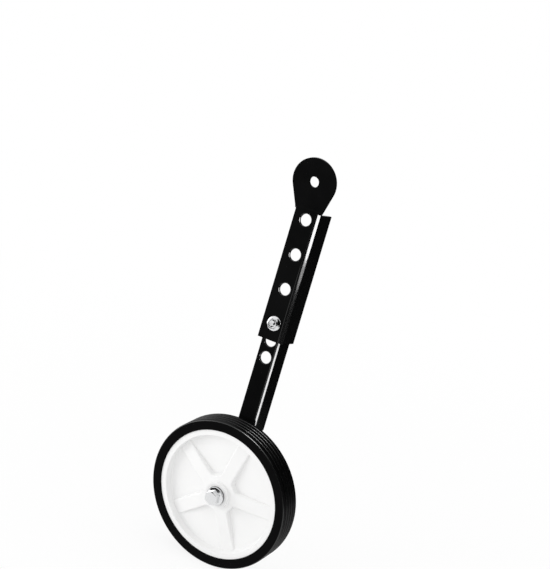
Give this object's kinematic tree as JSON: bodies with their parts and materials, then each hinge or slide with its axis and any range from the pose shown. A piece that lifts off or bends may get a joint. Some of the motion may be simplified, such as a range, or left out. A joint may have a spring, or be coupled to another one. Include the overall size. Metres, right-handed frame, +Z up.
{
  "type": "bicycle training wheel",
  "caption": "Bicycle training wheel: a steel bracket that bolts on the rear axle, a nested arm with height holes, and a free-running plastic wheel with a black ribbed tyre.",
  "frame": {"origin": "centre of the axle hole on the face of the plate that meets the bicycle", "axes": "+Z up, +Y inward to the bicycle along its axle, so that -Y is outward, and +X along the bicycle"},
  "size_m": [0.152, 0.1104, 0.4103],
  "materials": {
    "black_coat": "semi-gloss powder coat",
    "zinc_plate": "bright zinc plate",
    "tyre_rubber": "satin",
    "white_plastic": "moulded, slightly glossy",
    "bush_plastic": "moulded, matt"
  },
  "bodies": {
    "bracket": {"upper_bracket": "black_coat", "lower_arm": "black_coat", "height_bolt": "zinc_plate", "height_washer": "zinc_plate", "height_nut": "zinc_plate", "wheel_bolt": "zinc_plate", "wheel_sleeve": "zinc_plate", "arm_washer": "zinc_plate", "lock_washer": "zinc_plate", "wheel_nut": "zinc_plate"},
    "wheel": {"tyre": "tyre_rubber", "wheel_disc": "white_plastic", "outer_bush": "bush_plastic", "inner_bush": "bush_plastic"}
  },
  "joints": [
    {"name": "wheel_spin", "type": "hinge", "parent": "bracket", "child": "wheel", "pos_m": [0, -0.0622, -0.3108], "axis": [0, -1, 0], "continuous": true}
  ]
}
